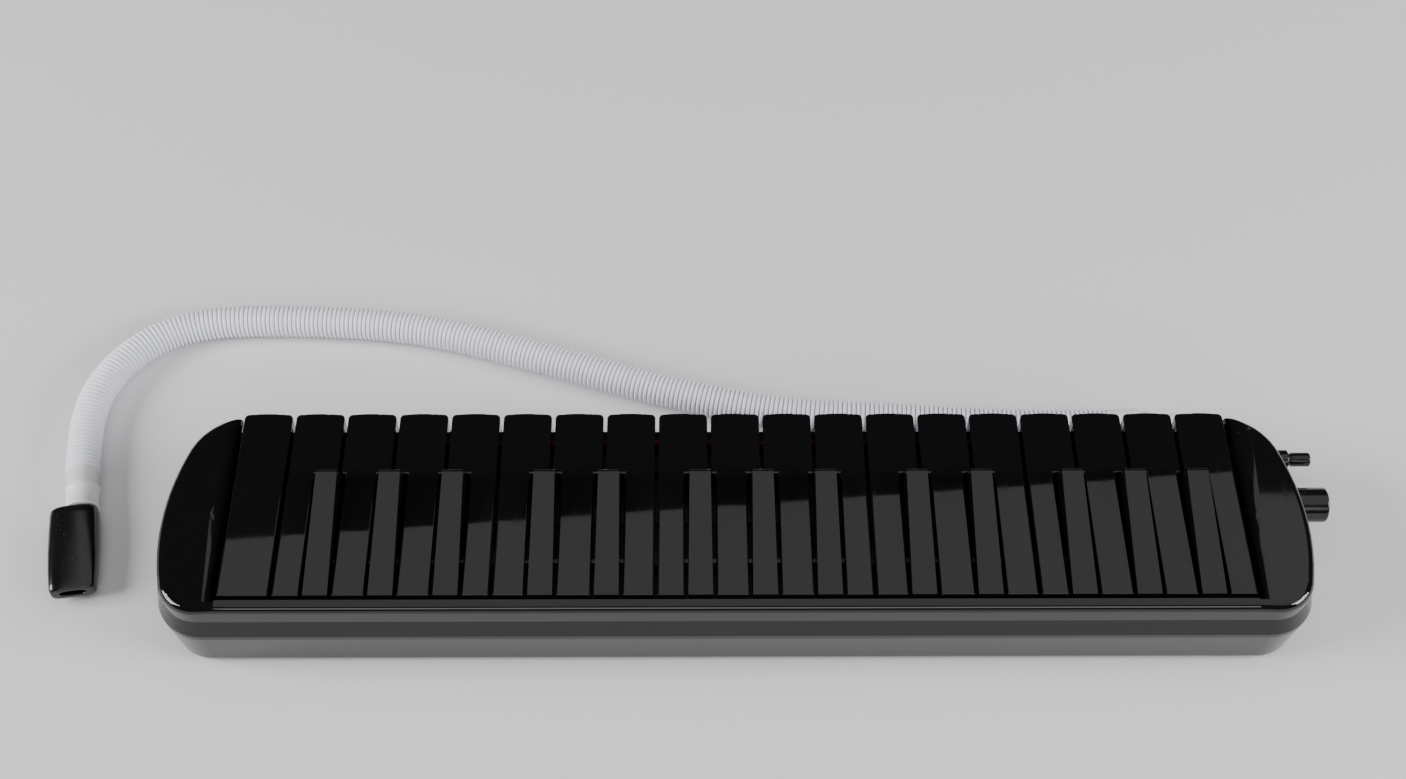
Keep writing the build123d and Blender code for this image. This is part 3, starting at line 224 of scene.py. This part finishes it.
def moulded(name, colour, roughness, spread=0.05, ripple=90.0, bump=0.00001, dust=0.06, coat=0.0):
    """A moulded plastic: its colour, a worn gloss and the mould's ripple."""
    material = bpy.data.materials.new(name)
    material.use_nodes = True
    nodes, link = material.node_tree.nodes, material.node_tree.links.new
    shader = nodes["Principled BSDF"]
    shader.inputs["IOR"].default_value = 1.5
    shader.inputs["Coat Weight"].default_value = coat
    shader.inputs["Coat Roughness"].default_value = 0.06
    wear = nodes.new("ShaderNodeGroup")
    wear.node_tree = plastic_wear
    wear.inputs["Ripple Size"].default_value = ripple
    wear.inputs["Base Roughness"].default_value = roughness
    wear.inputs["Spread"].default_value = spread
    link(wear.outputs["Roughness"], shader.inputs["Roughness"])
    relief = nodes.new("ShaderNodeBump")
    relief.inputs["Distance"].default_value = bump
    relief.inputs["Strength"].default_value = 0.6
    link(wear.outputs["Height"], relief.inputs["Height"])
    link(relief.outputs["Normal"], shader.inputs["Normal"])
    dusted = nodes.new("ShaderNodeMix")
    dusted.data_type = "RGBA"
    dusted.inputs["A"].default_value = (*colour, 1.0)
    dusted.inputs["B"].default_value = (*[min(1.0, part + dust) for part in colour], 1.0)
    link(wear.outputs["Dust"], dusted.inputs["Factor"])
    link(dusted.outputs["Result"], shader.inputs["Base Color"])
    return material


def finish_in(piece, material):
    """Gives a made piece its material."""
    piece.data.materials.clear()
    piece.data.materials.append(material)


hose_white = moulded("hose_white", (0.86, 0.87, 0.93), 0.36, 0.1, 160.0, 0.00003, 0.0)
hose_shader = hose_white.node_tree.nodes["Principled BSDF"]
hose_shader.inputs["Subsurface Weight"].default_value = 0.1
hose_shader.inputs["Subsurface Radius"].default_value = (1.0, 0.95, 0.9)
hose_shader.inputs["Subsurface Scale"].default_value = 0.0006
finish_in(hose, hose_white)
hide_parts("hose_tube")


# Hose ends. Smooth white polyethylene cuffs, pushed over the tube: a long one with a ring,
# that takes the mouthpiece's neck, and a tapered plug that fits the case's blow socket.
def turned(name, start, direction, profile, body, count=40):
    """A piece turned about a level axis: profile is pairs of distance and radius."""
    return skin(name, [ring_round(start + direction * d, direction, r, count) for d, r in profile], body)


def mm(pairs):
    """Pairs of millimetres as metres."""
    return [(a / 1000, b / 1000) for a, b in pairs]


hose_start, hose_end = hose_points[0], hose_points[-1]
plug_way = (hose_points[0] - hose_points[1]).normalized()
cuff_way = (hose_points[-1] - hose_points[-2]).normalized()
plug_profile = mm([
    (0.0, 4.6), (0.0, 6.3), (0.4, 6.7), (12.9, 6.7), (13.6, 6.5), (14.0, 6.0), (14.2, 5.7), (17.8, 5.6),
    (18.1, 5.0), (18.2, 4.74), (31.2, 4.56), (31.8, 4.4), (32.0, 4.0), (32.0, 3.2), (31.6, 3.0),
    (4.0, 3.0), (3.9, 0.4),
])
plug = turned("hose_plug_end", hose_start, plug_way, plug_profile, "case")
cuff_profile = mm([
    (-0.4, 4.6), (-0.4, 6.0), (-0.1, 6.2), (7.8, 6.2), (8.0, 6.35), (8.15, 6.72), (9.35, 6.72), (9.5, 6.5),
    (9.7, 6.35), (16.6, 6.35), (16.9, 6.5), (17.2, 6.74), (18.1, 6.74), (18.4, 6.6), (18.5, 6.3),
    (18.5, 4.8), (18.3, 4.6), (1.2, 4.6), (1.0, 0.4),
])
cuff = turned("hose_cuff_end", hose_end, cuff_way, cuff_profile, "case")
end_white = moulded("hose_end_white", (0.8, 0.8, 0.81), 0.3, 0.08, 120.0, 0.00001, 0.0)
finish_in(plug, end_white)
finish_in(cuff, end_white)
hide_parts("hose_plug")
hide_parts("hose_cuff")


# Mouthpiece. One black ABS moulding: a round neck pushed into the cuff and a body flattened
# towards the lips, which stands a little to one side, with a narrow slot for the breath.
def flat_ring(centre, direction, half_width, half_height, power, count=56):
    """A ring between a circle and a rounded rectangle, across a level direction."""
    side = direction.cross(Vector((0, 0, 1))).normalized()
    points = []
    for i in range(count):
        turn = math.tau * i / count
        c, s = math.cos(turn), math.sin(turn)
        a = math.copysign(abs(c) ** (2 / power), c) * half_width
        b = math.copysign(abs(s) ** (2 / power), s) * half_height
        points.append(centre + side * a + Vector((0, 0, b)))
    return points


cuff_length = 0.0185
body_shift = 0.0026
mouth_start = hose_end + cuff_way * cuff_length
mouth_aside = cuff_way.cross(Vector((0, 0, 1))).normalized() * body_shift
# Distance from the cuff, half width, half height and squareness, in millimetres.
neck_sections = [
    (10.0, 0.4, 0.4, 2.0), (10.0, 3.0, 3.0, 2.0), (-10.3, 3.0, 3.0, 2.0), (-10.5, 3.3, 3.3, 2.0),
    (-10.5, 4.3, 4.3, 2.0), (-10.2, 4.54, 4.54, 2.0), (0.3, 4.54, 4.54, 2.0),
]
body_sections = [
    (0.0, 5.4, 4.6, 2.4), (0.0, 7.6, 4.9, 2.8), (0.25, 8.5, 5.5, 3.0), (0.8, 9.05, 5.9, 3.1),
    (1.6, 9.3, 6.08, 3.1), (4.0, 9.4, 6.0, 3.2), (10.0, 9.52, 5.75, 3.4), (20.0, 9.55, 5.3, 3.7),
    (28.0, 9.25, 4.65, 4.2), (34.0, 8.85, 4.05, 4.6), (35.8, 8.6, 3.8, 4.6), (36.5, 8.35, 3.55, 4.4),
    (36.9, 7.95, 3.2, 4.2), (37.0, 7.5, 2.8, 4.0), (37.0, 5.0, 1.8, 3.0), (36.8, 4.85, 1.62, 3.0),
    (36.3, 4.8, 1.6, 3.0), (3.0, 4.8, 1.6, 3.0), (3.0, 0.5, 0.4, 2.0),
]
mouth_rings = [
    flat_ring(mouth_start + cuff_way * d / 1000, cuff_way, w / 1000, h / 1000, power)
    for d, w, h, power in neck_sections
] + [
    flat_ring(mouth_start + mouth_aside + cuff_way * d / 1000, cuff_way, w / 1000, h / 1000, power)
    for d, w, h, power in body_sections
]
mouthpiece = skin("lip_piece", mouth_rings, "case")
mouth_black = moulded("mouth_black", (0.006, 0.006, 0.0065), 0.14, 0.05, 120.0, 0.00001, 0.03)
finish_in(mouthpiece, mouth_black)
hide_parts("mouthpiece")


# Reed block and wind cover. Black ABS mouldings screwed together round the reed plates;
# the cover's box at the low end joins the blow socket to the wind way.
def dress(material, *names):
    """Puts a material on CAD nodes that stay as they are."""
    for name in names:
        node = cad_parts[name]
        node.data.materials.clear()
        node.data.materials.append(material)


chest_black = moulded("chest_black", (0.02, 0.02, 0.021), 0.42, 0.14, 70.0, 0.00004, 0.0)
dress(chest_black, "reed_block", "wind_cover")


# Reed gasket. A sheet of cork and rubber crumb, punched with a window for each reed.
def granular(name, dark, light, grain, roughness, height):
    """A pressed or felted material: two colours mixed grain by grain, with their relief."""
    material = bpy.data.materials.new(name)
    material.use_nodes = True
    nodes, link = material.node_tree.nodes, material.node_tree.links.new
    shader = nodes["Principled BSDF"]
    shader.inputs["Roughness"].default_value = roughness
    place = nodes.new("ShaderNodeTexCoord")
    cells = nodes.new("ShaderNodeTexVoronoi")
    cells.inputs["Scale"].default_value = grain
    link(place.outputs["Object"], cells.inputs["Vector"])
    cloud = nodes.new("ShaderNodeTexNoise")
    cloud.inputs["Scale"].default_value = grain * 0.4
    cloud.inputs["Detail"].default_value = 6.0
    link(place.outputs["Object"], cloud.inputs["Vector"])
    mixed = nodes.new("ShaderNodeMix")
    mixed.data_type = "RGBA"
    mixed.inputs["A"].default_value = (*dark, 1.0)
    mixed.inputs["B"].default_value = (*light, 1.0)
    link(cloud.outputs["Fac"], mixed.inputs["Factor"])
    link(mixed.outputs["Result"], shader.inputs["Base Color"])
    relief = nodes.new("ShaderNodeBump")
    relief.inputs["Distance"].default_value = height
    link(cells.outputs["Distance"], relief.inputs["Height"])
    link(relief.outputs["Normal"], shader.inputs["Normal"])
    return material


dress(granular("gasket_brown", (0.13, 0.085, 0.05), (0.34, 0.24, 0.15), 900.0, 0.85, 0.00015), "reed_gasket")


# Reed plates, reeds and rivets. Rolled brass sheet, with a bronze tongue riveted over each slot
# and its tip filed to pitch. The rolling and the file leave fine lines along the metal.
def metal_lines_group():
    """Node group: fine lines from drawing, rolling or filing, as a roughness and a height."""
    group = bpy.data.node_groups.new("metal_lines", "ShaderNodeTree")
    for socket, value in (("Size", 400.0), ("Base Roughness", 0.25), ("Spread", 0.15)):
        made = group.interface.new_socket(socket, in_out="INPUT", socket_type="NodeSocketFloat")
        made.default_value = value
    for socket in ("Roughness", "Height", "Tarnish"):
        group.interface.new_socket(socket, in_out="OUTPUT", socket_type="NodeSocketFloat")
    nodes, link = group.nodes, group.links.new
    given = nodes.new("NodeGroupInput")
    result = nodes.new("NodeGroupOutput")
    place = nodes.new("ShaderNodeTexCoord")
    stretch = nodes.new("ShaderNodeMapping")
    stretch.inputs["Scale"].default_value = (0.04, 1.0, 1.0)
    link(place.outputs["Object"], stretch.inputs["Vector"])
    lines = nodes.new("ShaderNodeTexNoise")
    lines.inputs["Detail"].default_value = 6.0
    link(stretch.outputs["Vector"], lines.inputs["Vector"])
    link(given.outputs["Size"], lines.inputs["Scale"])
    rough = nodes.new("ShaderNodeMath")
    rough.operation = "MULTIPLY_ADD"
    link(lines.outputs["Fac"], rough.inputs[0])
    link(given.outputs["Spread"], rough.inputs[1])
    link(given.outputs["Base Roughness"], rough.inputs[2])
    link(rough.outputs["Value"], result.inputs["Roughness"])
    link(lines.outputs["Fac"], result.inputs["Height"])
    cloud = nodes.new("ShaderNodeTexNoise")
    cloud.inputs["Scale"].default_value = 35.0
    cloud.inputs["Detail"].default_value = 5.0
    link(place.outputs["Object"], cloud.inputs["Vector"])
    link(cloud.outputs["Fac"], result.inputs["Tarnish"])
    return group


metal_lines = metal_lines_group()


def worked_metal(name, bright, dull, roughness, size=400.0):
    """A bare metal with its working lines, a little darker where it has dulled."""
    material = bpy.data.materials.new(name)
    material.use_nodes = True
    nodes, link = material.node_tree.nodes, material.node_tree.links.new
    shader = nodes["Principled BSDF"]
    shader.inputs["Metallic"].default_value = 1.0
    lines = nodes.new("ShaderNodeGroup")
    lines.node_tree = metal_lines
    lines.inputs["Size"].default_value = size
    lines.inputs["Base Roughness"].default_value = roughness
    link(lines.outputs["Roughness"], shader.inputs["Roughness"])
    mixed = nodes.new("ShaderNodeMix")
    mixed.data_type = "RGBA"
    mixed.inputs["A"].default_value = (*bright, 1.0)
    mixed.inputs["B"].default_value = (*dull, 1.0)
    link(lines.outputs["Tarnish"], mixed.inputs["Factor"])
    link(mixed.outputs["Result"], shader.inputs["Base Color"])
    relief = nodes.new("ShaderNodeBump")
    relief.inputs["Distance"].default_value = 0.00002
    link(lines.outputs["Height"], relief.inputs["Height"])
    link(relief.outputs["Normal"], shader.inputs["Normal"])
    return material


plate_brass = worked_metal("plate_brass", (0.78, 0.6, 0.3), (0.55, 0.4, 0.18), 0.25)
dress(plate_brass, "reed_plate_low", "reed_plate_high")
dress(worked_metal("reed_bronze", (0.8, 0.55, 0.28), (0.6, 0.38, 0.18), 0.2, 700.0), "reeds")
dress(worked_metal("rivet_brass", (0.74, 0.6, 0.33), (0.5, 0.38, 0.2), 0.3), "reed_rivets")


# Screws. Zinc-plated steel with a cross recess, ten in the wind chest and eight in the case.
screw_steel = worked_metal("screw_steel", (0.6, 0.6, 0.6), (0.42, 0.42, 0.43), 0.3, 900.0)
dress(screw_steel, "chest_screws", "case_screws")


# Key rod and springs. A blued steel axle through every key's hub, a comb of blued steel leaves
# that lifts the keys' fronts, and the drain valve's coil of steel wire.
dress(worked_metal("rod_steel", (0.1, 0.1, 0.11), (0.06, 0.06, 0.065), 0.3), "key_rod")
dress(worked_metal("spring_blued", (0.06, 0.06, 0.08), (0.03, 0.03, 0.04), 0.4, 600.0), "spring_strip")
dress(worked_metal("spring_steel", (0.6, 0.6, 0.62), (0.45, 0.45, 0.47), 0.22, 1200.0), "drain_spring")


# Guide combs. Black acetal mouldings whose blades run between the ribs under each key.
guide_black = moulded("guide_black", (0.02, 0.02, 0.021), 0.4, 0.1, 80.0, 0.00002, 0.0)
dress(guide_black, "sharp_guide", "natural_guide")


# Key felt. A strip of wool felt glued on the case's front rail, where the naturals' lips land.
dress(granular("felt_red", (0.22, 0.02, 0.025), (0.42, 0.07, 0.07), 2600.0, 0.95, 0.0002), "key_felt")


# Seals. Moulded black rubber rings, one behind the blow socket's flange and one on the drain disc.
seal_rubber = moulded("seal_rubber", (0.02, 0.02, 0.02), 0.6, 0.12, 200.0, 0.00002, 0.02)
dress(seal_rubber, "socket_seal", "drain_seal")


# Lower shell. The case's bottom half, moulded in black ABS, drawn in towards its foot
# and closed to the upper shell with screws from below.
case_black = moulded("case_black", (0.0035, 0.0035, 0.0038), 0.03, 0.03, 60.0, 0.00001, 0.006)
dress(case_black, "lower_shell")


# Upper shell. A polished black moulding: a narrow deck behind the keys, a rounded cheek
# at each end and a skirt that flares to the seam.
dress(case_black, "upper_shell")


# Keys. Polished black mouldings: nineteen wide naturals with deep lips and thirteen
# sharps that climb from the deck's level to a raised front.
key_black = moulded("key_black", (0.0035, 0.0035, 0.004), 0.012, 0.022, 55.0, 0.00001, 0.006)
not_levers = ("key_rod", "key_felt")
key_names = [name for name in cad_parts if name.startswith("key_") and name not in not_levers]
dress(key_black, *key_names)


# Blow socket and drain valve. Black polished mouldings at the low-note end.
fitting_black = moulded("fitting_black", (0.006, 0.006, 0.0065), 0.12, 0.06, 120.0, 0.00001, 0.03)
dress(fitting_black, "blow_socket", "drain_sleeve", "drain_button")


# Hand strap. Black vinyl folded over cloth and stitched along both edges. It lies in the case's
# underside, held at each end by a moulded plate.
strap_middle = Vector((-0.00575, 0.0, 0.0020))
strap_half_length = 0.100
strap_half_width = 0.016
strap_corner = 0.002
strap_half_thickness = 0.00088
plate_half_thickness = 0.00078
plate_reach = 0.091
plate_half_length = 0.0075
strap_end_draw = 0.0012
strap_squareness = 6.0
strap_steps = 120
along_strap = Vector((1.0, 0.0, 0.0))
strap_rings = []
for step in range(strap_steps + 1):
    reach = -strap_half_length + 2 * strap_half_length * step / strap_steps
    to_end = min(1.0, (strap_half_length - abs(reach)) / strap_corner)
    held = abs(abs(reach) - plate_reach) < plate_half_length
    half_thickness = plate_half_thickness if held else strap_half_thickness
    half_width = strap_half_width - strap_end_draw * (1 - math.sqrt(1 - (1 - to_end) ** 2))
    place = strap_middle + along_strap * reach
    strap_rings.append(flat_ring(place, along_strap, half_width, half_thickness, strap_squareness))
strap = skin("strap", strap_rings, "case")
strap_vinyl = moulded("strap_vinyl", (0.02, 0.02, 0.022), 0.5, 0.15, 1500.0, 0.00012, 0.02)
finish_in(strap, strap_vinyl)
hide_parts("hand_strap")
thread = [(-0.0013, 0.00008), (-0.0011, 0.00026), (0.0, 0.0003), (0.0011, 0.00026), (0.0013, 0.00008)]
thread_sides = 8
stitch_count = 48
stitch_pitch = 0.0037
stitch_row = 0.0131
stitch_depth = 0.00084
stitch_points, stitch_faces = [], []
for edge in (-1, 1):
    for index in range(stitch_count):
        along_row = stitch_pitch * (index - (stitch_count - 1) / 2)
        middle = strap_middle + Vector((along_row, edge * stitch_row, -stitch_depth))
        first = len(stitch_points)
        for distance, radius in thread:
            centre = middle + along_strap * distance
            stitch_points.extend(ring_round(centre, along_strap, radius, thread_sides))
        last = first + thread_sides * (len(thread) - 1)
        for corner in range(first, last):
            wraps = (corner - first) % thread_sides == thread_sides - 1
            beside = corner + 1 - (thread_sides if wraps else 0)
            stitch_faces.append((corner, beside, beside + thread_sides, corner + thread_sides))
        stitch_faces.append(tuple(reversed(range(first, first + thread_sides))))
        stitch_faces.append(tuple(range(last, last + thread_sides)))
stitch_mesh = bpy.data.meshes.new("strap_stitches")
stitch_mesh.from_pydata(stitch_points, [], stitch_faces)
for face in stitch_mesh.polygons:
    face.use_smooth = True
stitches = bpy.data.objects.new("strap_stitches", stitch_mesh)
bpy.context.collection.objects.link(stitches)
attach(stitches, "case")
finish_in(stitches, strap_vinyl)
dress(moulded("plate_black", (0.016, 0.016, 0.017), 0.3, 0.1, 120.0, 0.00002, 0.02), "strap_plates")


# Table and light. A plain pale table under one broad soft light overhead, with weaker soft lights
# on each side and behind the camera.
table_mesh = bpy.data.meshes.new("table")
table_half = 2.5
table_corners = [(x * table_half, y * table_half, 0) for x, y in ((-1, -1), (1, -1), (1, 1), (-1, 1))]
table_mesh.from_pydata(table_corners, [], [(0, 1, 2, 3)])
table = bpy.data.objects.new("table", table_mesh)
bpy.context.collection.objects.link(table)
table_paint = bpy.data.materials.new("table_paint")
table_paint.use_nodes = True
table_paint.node_tree.nodes["Principled BSDF"].inputs["Base Color"].default_value = (0.72, 0.72, 0.73, 1.0)
table_paint.node_tree.nodes["Principled BSDF"].inputs["Roughness"].default_value = 0.7
table_mesh.materials.append(table_paint)


def panel(name, place, aim, width, height, power, tint=(1.0, 1.0, 1.0)):
    """A soft light panel that faces a point."""
    data = bpy.data.lights.new(name, "AREA")
    data.shape = "RECTANGLE"
    data.size = width
    data.size_y = height
    data.energy = power
    data.color = tint
    lamp = bpy.data.objects.new(name, data)
    bpy.context.collection.objects.link(lamp)
    lamp.location = place
    lamp.rotation_euler = (Vector(aim) - Vector(place)).to_track_quat("-Z", "Y").to_euler()
    return lamp


overhead = panel("overhead", (0.46, 0.012, 1.55), (0.46, 0.012, 0.0), 2.28, 1.9, 12.2)
overhead.rotation_euler = (0.0, 0.0, math.radians(4.4))
panel("left", (-1.7, -0.2, 0.9), (0.0, 0.0, 0.02), 1.0, 0.9, 46.0)
panel("right", (1.6, -0.4, 0.8), (0.0, 0.0, 0.02), 0.9, 0.8, 36.0)
panel("behind", (0.1, -1.7, 1.1), (0.0, 0.0, 0.02), 1.6, 0.6, 10.0)

world = bpy.data.worlds.new("room")
world.use_nodes = True
world.node_tree.nodes["Background"].inputs["Color"].default_value = (0.9, 0.93, 1.0, 1.0)
world.node_tree.nodes["Background"].inputs["Strength"].default_value = 0.04
bpy.context.scene.world = world
